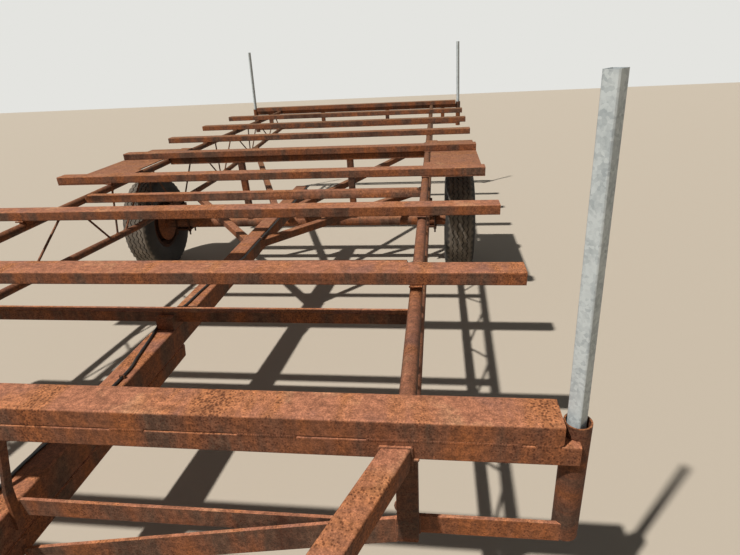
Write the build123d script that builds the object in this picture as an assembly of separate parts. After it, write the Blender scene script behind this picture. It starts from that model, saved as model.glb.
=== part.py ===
from build123d import *
from math import radians, sin, sqrt, tan
import os

# A low pipe trailer: nine flat crossmembers on two pipe trusses, a backbone tube that runs forward
# as the tongue, one fixed axle, and four stakes that stand in pipe sockets at the corners.
#
# Everything but the wheels and the jack is drawn in the deck's own frame, in millimetres:
# X to the right, Y to the rear, Z up from the deck, with Y = 0 at the front face of the first
# crossmember and Z = 0 at the deck's top. The trailer parks nose down, so the finished pieces are
# tipped about X and moved, and the part's origin is at the hitch pin, with +Z plumb.

INCH = 25.4

# deck
deck_half_width = 1494.5
end_cross_gap = 6.85
cross_width = 4 * INCH
cross_height = 2 * INCH
cross_wall = 3.2
cross_corner = 6.0
cross_places = (0.0, 808.5, 1644.5, 2516.0, 3389.4, 4224.3, 5071.2, 5915.6, 6947.3)
axle_cross_number = 5

# small square tube of the end frames and the cross tubes
tube_size = 2 * INCH
tube_wall = 3.2
tube_corner = 5.0

# pipe trusses: the rails touch the deck from the axle back and drop away from it to the front
rail_x = 1110.0
rail_radius = 24.15
rail_wall = 3.7
rail_front_drop = 30.0
rail_bend_radius = 3000.0
rail_pad_width = 44.0
rail_pad_length = 60.0
chord_radius = 24.15
chord_wall = 3.7
chord_end_depth = 294.0
chord_low_depth = 445.0
chord_bend_front = 2750.0
chord_bend_rear = 4300.0
chord_bend_radius = 600.0
rod_radius = 7.0

# web rods of each truss, front to rear: (where it meets the rail, where it meets the chord)
web_rods = (
    (330.0, 150.0),
    (400.0, 560.0),
    (830.0, 620.0),
    (900.0, 985.0),
    (1290.0, 1015.0),
    (1320.0, 1565.0),
    (1981.0, 1611.0),
    (2110.0, 2375.0),
    (2542.0, 2480.0),
    (2950.0, 2590.0),
    (3072.0, 2998.0),
    (3136.0, 3350.0),
    (3880.0, 3600.0),
    (4055.0, 4425.0),
    (4469.0, 4475.0),
    (4927.0, 4610.0),
    (5035.0, 5427.0),
    (5518.0, 5486.0),
    (5835.0, 5578.0),
    (5942.0, 6270.0),
    (6640.0, 6330.0),
    (6700.0, 6880.0),
)

# end frames: square posts, flat bars on edge at the front, square tube at the rear
tie_depth = 270.0
front_post_x = 1117.0
front_post_low = 356.0
rear_post_places = (474.0, 1270.0)
bar_thick = 9.5
inner_bar_start = 84.0
inner_bar_bevel = 10.0
inner_bar_depth = 321.0
outer_bar_depth = 296.0
bar_height = 2.1 * INCH
bar_set_back = 24.0
hanger_top_x = 116.0
hanger_width = 2 * INCH
hanger_foot_depth = 475.0

# stake sockets and stakes
socket_x = 1485.0
socket_inset = 50.0
socket_radius = 30.15
socket_wall = 3.9
socket_rim_depth = 20.0
socket_length = 325.0
socket_floor = 6.0
stake_size = 1.25 * INCH
stake_wall = 2.5
stake_corner = 3.5
stake_turn = 27.0
front_stake_top = 684.0
rear_stake_top = 756.0
stake_lean = 1.0

# backbone, tongue and drawbar
backbone_size = 4 * INCH
backbone_wall = 4.8
backbone_corner = 9.0
backbone_top_depth = 352.0
backbone_rear = 3570.0
tongue_front = -2250.0
liner_height = 60.0
liner_front = -420.0
liner_rear = 1048.0
liner_chamfer = 12.0
brace_size = 2.5 * INCH
brace_wall = 4.8
brace_corner = 7.0
brace_start_x = 1095.0
brace_start_depth = 100.0
brace_meet = -2394.5
lower_brace_height = 3 * INCH
lower_brace_set_back = 4.0
lower_brace_start_depth = 286.0
lower_brace_end_depth = 483.0

# wiring cable, held along the backbone: points of its route as (x, place, depth), front to rear
cable_radius = 5.25
cable_route = (
    (0.0, -2050.0, 340.5),
    (0.0, -1950.0, 340.5),
    (4.0, -1800.0, 346.2),
    (-20.0, -1200.0, 346.2),
    (10.0, -700.0, 346.2),
    (-34.0, -150.0, 346.2),
    (-35.0, 170.0, 346.2),
    (-28.0, 240.0, 346.2),
    (20.0, 560.0, 346.2),
    (20.5, 690.0, 346.2),
    (8.0, 745.0, 346.2),
    (-21.0, 935.0, 346.2),
    (-37.0, 1010.0, 346.2),
    (-36.0, 1080.0, 346.2),
    (-2.0, 1202.0, 346.2),
    (7.0, 1448.0, 346.2),
    (41.0, 1700.0, 346.2),
    (54.5, 1775.0, 348.3),
    (56.6, 1850.0, 361.5),
    (56.7, 3540.0, 361.5),
    (56.6, 3615.0, 366.0),
    (35.3, 3636.3, 372.0),
    (5.3, 3636.3, 379.0),
    (-16.0, 3615.0, 386.0),
    (-16.0, 3510.0, 392.0),
)
plug_radius = 11.0
plug_length = 58.0
plug_taper = 18.0

# bent-rod guides over the cable: on the backbone's top by (x, place), on its side by place
guide_radius = 3.0
guide_gap = 1.25
top_guides = ((-8.0, -1500.0), (-12.0, -425.0), (20.2, 625.0))
side_guides = (2200.0, 2880.0, 3400.0)
side_guide_depth = 361.5

# hounds: (where they leave the backbone, where they reach the chords)
hound_size = 2 * INCH
hound_wall = 3.2
hound_ends = ((2190.0, 3770.0), (2810.0, 5700.0))

# cross tubes under the deck: one low on the chords, the rest between the rails
low_tube_place = 1018.0
low_tube_rod_gap = 2.0
low_tube_block_front = 989.0
low_tube_block_width = 3 * INCH
low_tube_clip_depth = 292.0
rail_tube_drop = 45.0
rail_tube_places = (1067.0, 2275.0, 3389.4)

# axle and running gear
axle_place = 3495.0
axle_depth = 652.0
axle_radius = 44.45
axle_wall = 8.0
axle_overhang = 130.0
spindle_radius = 22.0
backing_radius = 158.0
backing_thick = 6.0
axle_post_x = 470.0
saddle_width = 76.0
saddle_length = 64.0
clamp_width = 150.0
clamp_length = 124.0
clamp_metal = 10.0
clamp_bolt_radius = 7.0
clamp_bolt_gap = 2.0
clamp_bolt_reach = 42.0

# wheels
wheel_reach = 95.0
tyre_radius = 404.0
tyre_half_section = 118.0
tyre_half_tread = 97.0
tyre_bulge_rise = 96.0
rim_radius = 203.2
rim_half_width = 80.0
rim_metal = 4.5
rim_flange_height = 19.0
bead_seat_width = 22.0
well_radius = 178.0
well_half_width = 30.0
disc_metal = 8.0
disc_offset = -26.0
disc_bowl_place = 12.0
disc_bowl_rise = 28.0
hub_flange_radius = 95.0
hub_barrel_radius = 44.0
hub_cap_radius = 36.0
hub_cap_length = 48.0
hub_cap_crown = 6.0
hub_bore_set_back = 8.0
drum_radius = 152.0
drum_metal = 8.0
hub_running_gap = 0.08
stud_circle = 69.85
stud_count = 6
stud_radius = 6.5
stud_gap = 0.6
stud_reach = 20.0
hand_hole_circle = 129.0
hand_hole_count = 5
hand_hole_radius = 14.0
wheel_clearance = 6.0

# fender plates, each lapped to its rail by two straps: (front, rear)
fender_metal = 6.35
fender_front = 2516.0
fender_rear = 3885.0
fender_inner_x = 1137.0
fender_straps = ((2836.0, 2965.0), (3745.0, 3885.0))
strap_inner_x = 1095.0
strap_outer_x = 1193.0

# hitch
pin_place = -2352.0
pin_radius = 13.5
clevis_plate = 19.0
clevis_gap = 50.0
clevis_width = 92.0
clevis_cap = 12.7

# jack, plumb beside the tongue
jack_place = -1500.0
jack_standoff = 14.0
jack_sleeve_radius = 30.15
jack_sleeve_wall = 3.9
jack_sleeve_below = 170.0
jack_sleeve_above = 235.0
jack_leg_gap = 0.3
jack_leg_wall = 5.0
jack_leg_length = 390.0
jack_foot_size = 160.0
jack_foot_thick = 8.0
jack_plate_width = 90.0
jack_plate_height = 80.0
jack_head_radius = 33.0
jack_head_height = 30.0
jack_crank_rise = 34.0
jack_crank_reach = 150.0
jack_crank_radius = 6.5
jack_grip_radius = 12.0
jack_grip_length = 120.0

# stance: the deck slopes down to the front
nose_down = 3.72

# worked out from the sizes above
tube_half = tube_size / 2
deck_end = cross_places[-1] + cross_width
socketed_half_width = socket_x - socket_radius - end_cross_gap
rail_level_depth = cross_height + rail_radius
rail_level_from = cross_places[axle_cross_number - 1] + cross_width / 2
rail_tube_depth = cross_height + rail_tube_drop + tube_size / 2
axle_half_length = rail_x + saddle_width / 2 + axle_overhang
wheel_x = axle_half_length + wheel_reach
beam_middle_depth = cross_height + tube_half
beam_bottom_depth = cross_height + tube_size
tie_middle_depth = tie_depth + tube_half
backbone_half = backbone_size / 2
backbone_depth = backbone_top_depth + backbone_half
backbone_bottom_depth = backbone_top_depth + backbone_size
pin_depth = backbone_depth
pin_point = Vector(0, pin_place, -pin_depth)
axle_point = Vector(0, axle_place, -axle_depth)
socket_bore = socket_radius - socket_wall
jack_leg_radius = jack_sleeve_radius - jack_sleeve_wall - jack_leg_gap
socket_rear = deck_end - socket_inset
socket_bottom_depth = socket_rim_depth + socket_length
hub_face_x = wheel_x + disc_offset
stance = Rot(nose_down, 0, 0) * Pos(-pin_point.X, -pin_point.Y, -pin_point.Z)
axle_world = (stance * Pos(axle_point)).position
ground = axle_world.Z - tyre_radius

SIDES = (("left", -1), ("right", 1))


def rounded_tube(width, height, wall, corner):
    """Section of a rectangular tube, its corners rounded inside and out."""
    outer = RectangleRounded(width, height, corner)
    inner = RectangleRounded(width - 2 * wall, height - 2 * wall, corner - wall * 0.6)
    return outer - inner


def pipe_section(radius, wall):
    return Circle(radius) - Circle(radius - wall)


def run(section, start, end, across=(1, 0, 0)):
    """The section extruded from start to end, its own X laid along across."""
    start = Vector(*start)
    end = Vector(*end)
    along = end - start
    across = Vector(*across)
    across = across - along.normalized() * across.dot(along.normalized())
    plane = Plane(origin=start, x_dir=across, z_dir=along)
    return extrude(plane * section, amount=along.length)


def square_tube(start, end, across=(1, 0, 0), size=tube_size, wall=tube_wall, corner=tube_corner):
    return run(rounded_tube(size, size, wall, corner), start, end, across)


def pipe(start, end, radius, wall):
    along = Vector(*end) - Vector(*start)
    across = (1, 0, 0) if abs(along.X) < along.length * 0.9 else (0, 1, 0)
    return run(pipe_section(radius, wall), start, end, across)


def both_sides(piece):
    return [piece, mirror(piece, about=Plane.YZ)]


def turned(profile, x, side):
    """A profile drawn as (outward, radius) spun about the axle and set on one side."""
    ring = revolve(Plane.XY * profile, axis=Axis.X)
    ring = Pos(x, 0, 0) * ring
    if side < 0:
        ring = mirror(ring, about=Plane.YZ)
    return ring


def outline(*points):
    return make_face(Polyline(*points, close=True))


# deck
def crossmember(number):
    half = socketed_half_width if number in (0, len(cross_places) - 1) else deck_half_width
    middle = cross_places[number] + cross_width / 2
    section = rounded_tube(cross_width, cross_height, cross_wall, cross_corner)
    return run(section, (-half, middle, -cross_height / 2), (half, middle, -cross_height / 2), (0, 1, 0))


# an arc of the cable takes this share of the shorter run beside it
ARC_SHARE = 0.45

# centre lines of the bent pipes as (place along the deck, depth)
RAIL_POINTS = (
    (tube_half, rail_level_depth + rail_front_drop),
    (rail_level_from, rail_level_depth),
    (deck_end - tube_half, rail_level_depth),
)
CHORD_POINTS = (
    (tube_half, chord_end_depth),
    (chord_bend_front, chord_low_depth),
    (chord_bend_rear, chord_low_depth),
    (deck_end - tube_half, chord_end_depth),
)


def depth_along(points, y):
    for (y0, depth0), (y1, depth1) in zip(points, points[1:]):
        if y <= y1:
            return depth0 + (depth1 - depth0) * (y - y0) / (y1 - y0)
    return points[-1][1]


def rail_depth(y):
    return depth_along(RAIL_POINTS, y)


def chord_depth(y):
    return depth_along(CHORD_POINTS, y)


def bent_pipe(side, points, section, bend_radius):
    """Pipe bent along its centre line, its ends sawn off where the end frames stand."""
    path = FilletPolyline(*[(side * rail_x, y, -depth) for y, depth in points], radius=bend_radius)
    start = Plane(origin=path @ 0, x_dir=(1, 0, 0), z_dir=path % 0)
    bent = sweep(start * section, path=path)
    length = deck_end - 2 * tube_size
    middle = Pos(side * rail_x, deck_end / 2, -chord_low_depth)
    return bent & middle * Box(tube_size * 2, length, deck_end)


def rail(side):
    return bent_pipe(side, RAIL_POINTS, pipe_section(rail_radius, rail_wall), rail_bend_radius)


def rail_pads():
    """Packing pieces between the dropped rails and the crossmembers over them."""
    pads = []
    for y in cross_places[1 : axle_cross_number - 1]:
        middle = y + cross_width / 2
        pad = Pos(rail_x, middle, -cross_height - rail_front_drop / 2)
        pad = pad * Box(rail_pad_width, rail_pad_length, rail_front_drop)
        pad -= bent_pipe(1, RAIL_POINTS, Circle(rail_radius), rail_bend_radius)
        pads += both_sides(max(pad.solids(), key=lambda solid: solid.center().Z))
    return Compound(children=pads)


def chord_top(y, offset=0.0):
    """Depth of the lower chord's surface at an offset from its upper line, on its sloping pipe."""
    slope = (chord_depth(y + 1) - chord_depth(y - 1)) / 2
    return chord_depth(y) - sqrt(chord_radius**2 - offset**2) * sqrt(1 + slope**2)


def chord(side):
    return bent_pipe(side, CHORD_POINTS, pipe_section(chord_radius, chord_wall), chord_bend_radius)


def lacing(side):
    """Web of the truss: rods coped to the round of the rail above and the chord below."""
    rail_core = bent_pipe(side, RAIL_POINTS, Circle(rail_radius), rail_bend_radius)
    chord_core = bent_pipe(side, CHORD_POINTS, Circle(chord_radius), chord_bend_radius)
    rods = []
    for top_y, low_y in web_rods:
        top = Vector(side * rail_x, top_y, -(rail_depth(top_y) + rail_radius))
        low = Vector(side * rail_x, low_y, -(chord_depth(low_y) - chord_radius))
        along = (low - top).normalized()
        start = top - along * chord_radius
        plane = Plane(origin=start, x_dir=(1, 0, 0), z_dir=along)
        rod = extrude(plane * Circle(rod_radius), amount=(low - start).length + chord_radius)
        rods.append(biggest(rod - rail_core - chord_core))
    return Compound(children=rods)


# end frames
def end_beam(front):
    """Square tube under the end crossmember, coped round the sockets that stand at its ends."""
    y = tube_half if front else deck_end - tube_half
    beam = square_tube((-socket_x, y, -beam_middle_depth), (socket_x, y, -beam_middle_depth), (0, 1, 0))
    return coped(beam, front)


def rear_tie():
    y = deck_end - tube_half
    tie = square_tube((-socket_x, y, -tie_middle_depth), (socket_x, y, -tie_middle_depth), (0, 1, 0))
    return coped(tie, False)


def front_tie():
    """Flat bars on edge: an inner one from hanger to post and an outer one from post to socket."""
    post_face = front_post_x - tube_half
    low = inner_bar_depth + bar_height
    inner = outline(
        (inner_bar_start, -inner_bar_depth),
        (post_face, -inner_bar_depth),
        (post_face, -low),
        (inner_bar_start + inner_bar_bevel, -low),
    )
    outer = Pos((post_face + tube_size + socket_x) / 2, -outer_bar_depth - bar_height / 2)
    outer = outer * Rectangle(socket_x - post_face - tube_size, bar_height)
    side_by_side = Plane.XZ.offset(-bar_set_back - bar_thick)
    bars = [extrude(side_by_side * sketch, amount=bar_thick) for sketch in (inner, outer)]
    return Compound(children=[half for bar in bars for half in both_sides(coped(bar, True))])


def coped(beam, front):
    y = socket_inset if front else socket_rear
    for side in (-1, 1):
        place = Pos(side * socket_x, y, -socket_bottom_depth / 2)
        beam -= place * Cylinder(socket_radius, socket_bottom_depth * 2)
    return beam


def end_posts():
    places = [(front_post_x, tube_half, front_post_low)]
    places += [(x, deck_end - tube_half, tie_depth) for x in rear_post_places]
    posts = [square_tube((x, y, -beam_bottom_depth), (x, y, -low)) for x, y, low in places]
    return Compound(children=[half for post in posts for half in both_sides(post)])


def hangers():
    """Flat straps that lean from the front beam down to the sides of the backbone."""
    top = beam_bottom_depth
    foot = hanger_foot_depth
    strap = outline(
        (hanger_top_x, -top),
        (hanger_top_x + bar_thick, -top),
        (backbone_half + bar_thick, -backbone_top_depth),
        (backbone_half + bar_thick, -foot),
        (backbone_half, -foot),
        (backbone_half, -backbone_top_depth),
    )
    return Compound(children=both_sides(extrude(Plane.XZ * strap, amount=-hanger_width)))


def stake_sockets():
    sockets = []
    for y in (socket_inset, socket_rear):
        middle = Pos(socket_x, y, -socket_rim_depth - socket_length / 2)
        shell = middle * Cylinder(socket_radius, socket_length)
        bore = Pos(socket_x, y, -socket_rim_depth - (socket_length - socket_floor) / 2)
        sockets += both_sides(shell - bore * Cylinder(socket_bore, socket_length - socket_floor))
    return Compound(children=sockets)


def stake_frame(side, front):
    """Place of a stake: its foot on the socket's floor, leaning by its slack towards the middle."""
    y = socket_inset if front else socket_rear
    middle = socket_rim_depth + (socket_length - socket_floor) / 2
    return Pos(side * socket_x, y, -middle) * Rot(0, -side * stake_lean, 0)


def stake_foot():
    """Distance from the socket's middle down to the stake's foot, clear of the floor at its corner."""
    corner = stake_size / sqrt(2)
    return (socket_length - socket_floor) / 2 - corner * sin(radians(stake_lean))


def stake(side, front):
    top = front_stake_top if front else rear_stake_top
    middle = socket_rim_depth + (socket_length - socket_floor) / 2
    length = stake_foot() + middle + top
    section = Rot(0, 0, side * stake_turn) * rounded_tube(stake_size, stake_size, stake_wall, stake_corner)
    return stake_frame(side, front) * Pos(0, 0, -stake_foot()) * extrude(section, amount=length)


# backbone and drawbar
def backbone():
    section = rounded_tube(backbone_size, backbone_size, backbone_wall, backbone_corner)
    return run(section, (0, tongue_front, -backbone_depth), (0, backbone_rear, -backbone_depth))


def tongue_liner():
    """Second tube under the tongue, its ends sawn back on the slant."""
    middle = backbone_bottom_depth + liner_height / 2
    section = rounded_tube(backbone_size, liner_height, backbone_wall, backbone_corner)
    tube = run(section, (0, liner_front, -middle), (0, liner_rear, -middle))
    low = -(backbone_bottom_depth + liner_height)
    high = -backbone_bottom_depth
    side_view = Plane.YZ.offset(-backbone_size)
    for end, inward in ((liner_front, 1), (liner_rear, -1)):
        wedge = outline((end, high), (end + inward * liner_chamfer, low - 1), (end, low - 1))
        tube -= extrude(side_view * wedge, amount=backbone_size * 2)
    return tube


def tongue_brace(side):
    """One leg of the A: from the face of the front beam to the side of the tongue."""
    start = Vector(side * brace_start_x, 0, -brace_start_depth)
    aim = Vector(0, brace_meet, -backbone_depth)
    along = (aim - start).normalized()
    start = start - along * brace_size * 2
    section = rounded_tube(brace_size, brace_size, brace_wall, brace_corner)
    leg = run(section, start, aim)
    leg -= Pos(0, 0, -backbone_depth) * Box(backbone_size, abs(brace_meet) * 4, backbone_size * 3)
    tongue = Pos(0, tongue_front / 2, -backbone_depth)
    leg &= tongue * Box(deck_half_width * 2, -tongue_front, backbone_depth * 4)
    return biggest(leg)


def biggest(shape):
    return max(shape.solids(), key=lambda solid: solid.volume)


def lower_braces():
    """Flat bars on edge from the posts down to the sides of the hangers and the tongue liner."""
    inner_x = backbone_half + bar_thick
    outer_x = front_post_x - tube_half
    bar = outline(
        (inner_x, -lower_brace_end_depth),
        (outer_x, -lower_brace_start_depth),
        (outer_x, -lower_brace_start_depth - lower_brace_height),
        (inner_x, -lower_brace_end_depth - lower_brace_height),
    )
    face = Plane.XZ.offset(-lower_brace_set_back - bar_thick)
    return Compound(children=both_sides(extrude(face * bar, amount=bar_thick)))


def hounds():
    legs = []
    for leave, reach in hound_ends:
        start = Vector(0, leave, -backbone_depth)
        end = Vector(rail_x, reach, -chord_depth(reach))
        section = rounded_tube(hound_size, hound_size, hound_wall, tube_corner)
        leg = run(section, start, end, (0, 1, 0))
        leg -= Pos(0, 0, -backbone_depth) * Box(backbone_size, deck_end * 4, backbone_size * 3)
        limit = rail_x - chord_radius
        leg &= Pos(limit / 2, 0, 0) * Box(limit, deck_end * 4, deck_end)
        legs += both_sides(biggest(leg))
    return Compound(children=legs)


# wiring
def cable_path():
    """Straight runs joined by arcs, each as large as the shorter of its two runs allows."""
    points = [Vector(x, y, -depth) for x, y, depth in cable_route]
    radii = []
    for before, corner, after in zip(points, points[1:], points[2:]):
        arriving, leaving = corner - before, after - corner
        shorter = min(arriving.length, leaving.length)
        radii.append(ARC_SHARE * shorter / tan(radians(arriving.get_angle(leaving)) / 2))
    print("tightest bend of the cable", round(min(radii), 1))
    return FilletPolyline(*points, radius=radii)


def wiring_cable():
    path = cable_path()
    start = Plane(origin=path @ 0, z_dir=path % 0)
    cable = sweep(start * Circle(cable_radius), path=path)
    print("length of the cable", round(path.length))
    return cable


def cable_plug():
    """Round plug on the cable's front end, lying on the backbone."""
    x, y, depth = cable_route[0]
    profile = outline(
        (0, 0),
        (cable_radius, 0),
        (plug_radius, plug_taper),
        (plug_radius, plug_length),
        (0, plug_length),
    )
    plug = revolve(Plane.XY * profile, axis=Axis.Y)
    return Pos(x, y, -depth) * Rot(0, 0, 180) * plug


def cable_guides():
    half = cable_radius + guide_gap + guide_radius
    reach = guide_gap + 2 * cable_radius + half - cable_radius
    corners = ((-half, 0, 0), (-half, 0, reach), (half, 0, reach), (half, 0, 0))
    path = FilletPolyline(*corners, radius=half - guide_radius / 4)
    staple = sweep(Plane(origin=path @ 0, z_dir=path % 0) * Circle(guide_radius), path=path)
    guides = [Pos(x, y, -backbone_top_depth) * staple for x, y in top_guides]
    for y in side_guides:
        guides.append(Pos(backbone_half, y, -side_guide_depth) * Rot(0, 90, 0) * staple)
    return Compound(children=guides)


# cross tubes
def low_cross_tube():
    """Lies on both chords, inside the rods, and on a clip that stands on the backbone."""
    inset = rod_radius + low_tube_rod_gap
    half = rail_x - inset
    y = low_tube_place + tube_half
    bottom = chord_top(low_tube_place, inset)
    tube = square_tube((-half, y, tube_half - bottom), (half, y, tube_half - bottom), (0, 1, 0))
    side_view = outline(
        (low_tube_block_front, -backbone_top_depth),
        (low_tube_place + tube_size, -backbone_top_depth),
        (low_tube_place + tube_size, -bottom),
        (low_tube_place, -bottom),
        (low_tube_place, -low_tube_clip_depth),
        (low_tube_block_front, -low_tube_clip_depth),
    )
    right = backbone_half
    clip = extrude(Plane.YZ.offset(right) * side_view, amount=-low_tube_block_width)
    return tube + clip


def rail_cross_tube(place):
    """Between the rails, its ends coped to the round of both."""
    y = place + tube_half
    tube = square_tube((-rail_x, y, -rail_tube_depth), (rail_x, y, -rail_tube_depth), (0, 1, 0))
    for side in (-1, 1):
        tube -= bent_pipe(side, RAIL_POINTS, Circle(rail_radius), rail_bend_radius)
    return biggest(tube)


# axle
def axle():
    """Tube, spindles and the fixed backing plates of the brakes."""
    tube = pipe((-axle_half_length, 0, 0), (axle_half_length, 0, 0), axle_radius, axle_wall)
    reach = hub_face_x + disc_metal + hub_cap_length * 0.5 - (axle_half_length - backing_thick)
    for side in (-1, 1):
        place = side * (axle_half_length - backing_thick + reach / 2)
        tube += Pos(place, 0, 0) * Rot(0, 90, 0) * Cylinder(spindle_radius, reach)
        plate = Pos(side * (axle_half_length + backing_thick / 2), 0, 0)
        tube += plate * Rot(0, 90, 0) * Cylinder(backing_radius, backing_thick)
    return Pos(axle_point) * tube


def axle_posts():
    """Leaning posts from the axle up to the cross tube under the deck, sawn level at the top."""
    y = rail_tube_places[-1] + tube_half
    foot = Vector(axle_post_x, axle_place, -axle_depth)
    top = Vector(axle_post_x, y, -rail_tube_depth)
    post = square_tube(foot, top)
    post -= Pos(axle_point) * Rot(0, 90, 0) * Cylinder(axle_radius, deck_half_width * 2)
    post -= Pos(axle_post_x, y, -rail_tube_depth) * Box(tube_size * 3, tube_size * 6, tube_size)
    return Compound(children=both_sides(biggest(post)))


def axle_saddles():
    """Blocks of square tube that carry the chords and the backbone on the axle."""
    blocks = []
    plate_top = axle_depth - axle_radius - clamp_metal
    for x, bottom, foot, width in (
        (rail_x, chord_depth(axle_place) + chord_radius, plate_top, saddle_width),
        (0.0, backbone_bottom_depth, axle_depth, backbone_size),
    ):
        section = rounded_tube(width, saddle_length, tube_wall, tube_corner)
        block = run(section, (x, axle_place, -foot), (x, axle_place, -bottom))
        block -= Pos(axle_point) * Rot(0, 90, 0) * Cylinder(axle_radius, deck_half_width * 2)
        block = biggest(block)
        blocks += both_sides(block) if x else [block]
    return Compound(children=blocks)


def axle_clamps():
    """A plate over and a plate under the axle at each saddle, drawn together by four bolts."""
    at = Pos(rail_x, axle_place, -axle_depth)
    reach = axle_radius + clamp_metal / 2
    clamp = at * Pos(0, 0, reach) * Box(clamp_width, clamp_length, clamp_metal)
    clamp += at * Pos(0, 0, -reach) * Box(clamp_width, clamp_length, clamp_metal)
    bolt_y = axle_radius + clamp_bolt_gap + clamp_bolt_radius
    bolt_x = clamp_width / 2 - clamp_bolt_radius * 2
    length = 2 * (axle_radius + clamp_metal) + clamp_bolt_reach
    for x in (-bolt_x, bolt_x):
        for y in (-bolt_y, bolt_y):
            clamp += at * Pos(x, y, -clamp_bolt_reach / 2) * Cylinder(clamp_bolt_radius, length)
    return Compound(children=both_sides(clamp))


# wheels, drawn about the axle's line
def ring_of_rods(x, circle, count, radius, length):
    """Parallel rods along the axle, evenly spaced on a circle round it: studs, or holes to cut."""
    spots = [loc.position for loc in PolarLocations(circle, count)]
    rods = [Pos(x, spot.X, spot.Y) * Rot(0, 90, 0) * Cylinder(radius, length) for spot in spots]
    return Compound(children=rods) if len(rods) > 1 else rods[0]


def rim(side):
    """Drop-centre rim with its dished disc, flanges and bead seats in one spun section."""
    w = rim_half_width
    m = rim_metal
    lip = rim_radius + rim_flange_height
    seat = w - bead_seat_width
    half_well = well_half_width
    under_seat = rim_radius - m
    under_well = well_radius - m
    barrel = outline(
        (-w - m, lip),
        (-w, lip),
        (-w, rim_radius),
        (-seat, rim_radius),
        (-half_well, well_radius),
        (half_well, well_radius),
        (seat, rim_radius),
        (w, rim_radius),
        (w, lip),
        (w + m, lip),
        (w + m, under_seat),
        (seat + m / 2, under_seat),
        (half_well + m / 2, under_well),
        (-half_well - m / 2, under_well),
        (-seat - m / 2, under_seat),
        (-w - m, under_seat),
    )
    centre_hole = hub_cap_radius + wheel_clearance
    bowl = disc_bowl_place
    back = disc_bowl_place + disc_metal
    disc = outline(
        (disc_offset, centre_hole),
        (disc_offset, hub_flange_radius + disc_metal),
        (bowl, well_radius - disc_bowl_rise),
        (bowl, under_well),
        (back, under_well),
        (back, well_radius - disc_bowl_rise),
        (disc_offset + disc_metal, hub_flange_radius),
        (disc_offset + disc_metal, centre_hole),
    )
    wheel = turned(barrel, wheel_x, side) + turned(disc, wheel_x, side)
    wheel -= ring_of_rods(side * wheel_x, hand_hole_circle, hand_hole_count, hand_hole_radius, wheel_x)
    wheel -= ring_of_rods(side * hub_face_x, stud_circle, stud_count, stud_radius + stud_gap, hub_cap_length)
    return Pos(axle_point) * wheel


def tyre(side):
    """Beads on the rim's seats, full sidewalls and a flat tread."""
    w = rim_half_width
    lip = rim_radius + rim_flange_height
    half = [
        (w, rim_radius),
        (w, lip),
        (tyre_half_section, lip + tyre_bulge_rise),
        (tyre_half_tread, tyre_radius),
    ]
    profile = outline(*half, *[(-x, r) for x, r in reversed(half)])
    return Pos(axle_point) * turned(profile, wheel_x, side)


def hub(side):
    """Hub barrel, wheel flange, brake drum and grease cap, bored to run on the spindle."""
    inner = axle_half_length + backing_thick + wheel_clearance - wheel_x
    face = disc_offset
    bore = spindle_radius + hub_running_gap
    profile = outline(
        (inner + hub_bore_set_back, bore),
        (inner + hub_bore_set_back, hub_barrel_radius),
        (face - drum_metal, hub_barrel_radius),
        (face - drum_metal, drum_radius - drum_metal),
        (inner, drum_radius - drum_metal),
        (inner, drum_radius),
        (face, drum_radius),
        (face, hub_cap_radius),
        (face + hub_cap_length, hub_cap_radius),
        (face + hub_cap_length + hub_cap_crown, hub_cap_radius - hub_cap_crown),
        (face + hub_cap_length + hub_cap_crown, 0),
        (face + hub_cap_length * 0.8, 0),
        (face + hub_cap_length * 0.8, bore),
    )
    body = turned(profile, wheel_x, side)
    length = disc_metal + stud_reach
    for loc in PolarLocations(stud_circle, stud_count):
        stud = Pos(side * (hub_face_x + length / 2), loc.position.X, loc.position.Y)
        body += stud * Rot(0, 90, 0) * Cylinder(stud_radius, length)
    return Pos(axle_point) * body


# fenders
def fender(side):
    """Flat plate under two crossmembers, its straps lapped on the plate and on the rail."""
    width = deck_half_width - fender_inner_x
    length = fender_rear - fender_front
    middle = Pos(fender_inner_x + width / 2, fender_front + length / 2, -cross_height - fender_metal / 2)
    plate = middle * Box(width, length, fender_metal)
    strap_width = strap_outer_x - strap_inner_x
    for front, rear in fender_straps:
        foot = rail_depth(rear) - rail_radius
        strap = Pos(strap_inner_x + strap_width / 2, (front + rear) / 2, fender_metal / 2 - foot)
        plate += strap * Box(strap_width, rear - front, fender_metal)
    return plate if side > 0 else mirror(plate, about=Plane.YZ)


# hitch and jack
def hitch():
    """Cap on the tongue's end and two clevis plates, bored for a drawbar pin."""
    plates_back = tongue_front - clevis_cap
    cap = Box(backbone_size, clevis_cap, backbone_size)
    cap = Pos(0, tongue_front - clevis_cap / 2, -backbone_depth) * cap
    nose = clevis_width / 2
    length = plates_back - pin_place
    body = cap
    for lift in (-1, 1):
        z = -backbone_depth + lift * (clevis_gap + clevis_plate) / 2
        flat = Rectangle(clevis_width, length)
        sketch = Pos(0, pin_place + length / 2) * flat + Pos(0, pin_place) * Circle(nose)
        sketch -= Pos(0, pin_place) * Circle(pin_radius)
        body += Pos(0, 0, z - clevis_plate / 2) * extrude(sketch, amount=clevis_plate)
    return body


def jack_origin():
    """The plumb line of the jack: beside the tongue, at the tongue's own height."""
    x = -backbone_half - jack_standoff - jack_sleeve_radius
    return (stance * Pos(x, jack_place, -backbone_depth)).position


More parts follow.
